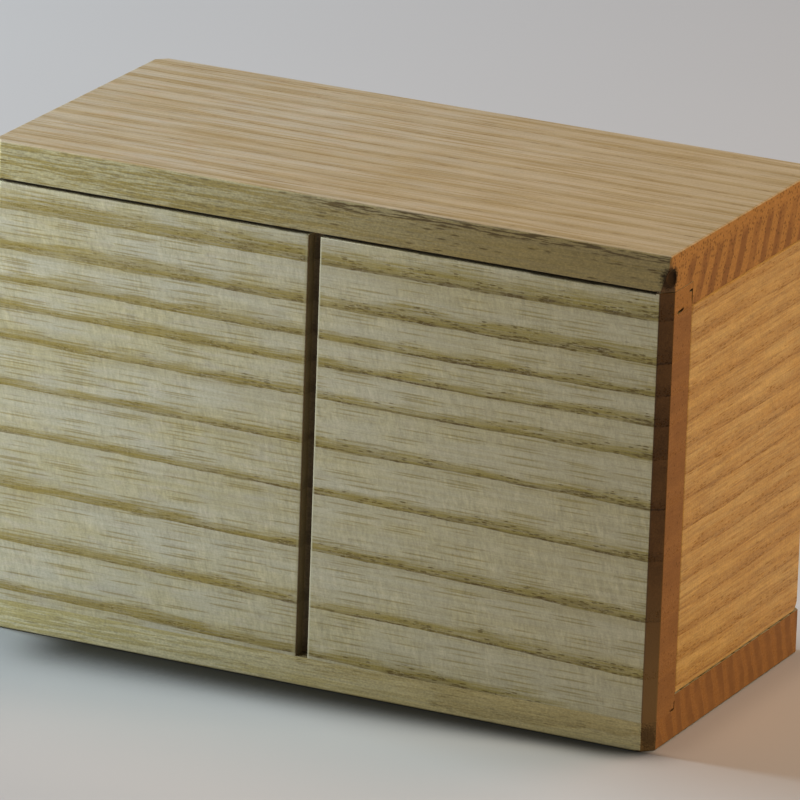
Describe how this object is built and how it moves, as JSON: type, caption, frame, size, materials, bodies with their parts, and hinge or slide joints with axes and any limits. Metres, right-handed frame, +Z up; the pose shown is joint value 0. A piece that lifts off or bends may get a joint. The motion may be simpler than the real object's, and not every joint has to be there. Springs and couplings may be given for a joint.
{
  "type": "sliding lid box",
  "caption": "Small rectangular hardwood keepsake box with a rabbeted lid that slides off sideways and an end panel that slides back to lock it.",
  "frame": {"origin": "middle of the underside", "axes": "+X to the right along the box, +Y from the front panel to the back, +Z up"},
  "size_m": [0.12, 0.0584, 0.082],
  "materials": {
    "lid_wood": "oiled, satin",
    "front_wood": "oiled, satin",
    "back_wood": "oiled, satin",
    "floor_wood": "oiled, satin",
    "end_wood": "oiled, satin",
    "inner_wood": "sanded, bare",
    "strip_wood": "sanded, waxed",
    "key_wood": "sanded, waxed"
  },
  "bodies": {
    "box": {"bottom_board": "floor_wood", "front_panel": "front_wood", "back_panel": "back_wood", "left_end_panel": "end_wood", "inner_end_wall": "inner_wood", "end_panel_runner": "inner_wood", "front_lid_spline": "strip_wood", "back_lid_spline": "strip_wood", "corner_dowels": "strip_wood"},
    "lid": {"lid_board": "lid_wood"},
    "end_panel": {"right_end_panel": "end_wood", "locking_key": "key_wood"}
  },
  "joints": [
    {"name": "lid_slide", "type": "slide", "parent": "box", "child": "lid", "axis": [1, 0, 0], "range_m": [0, 0.118]},
    {"name": "end_panel_slide", "type": "slide", "parent": "box", "child": "end_panel", "axis": [0, -1, 0], "range_m": [-0.002, 0]}
  ]
}
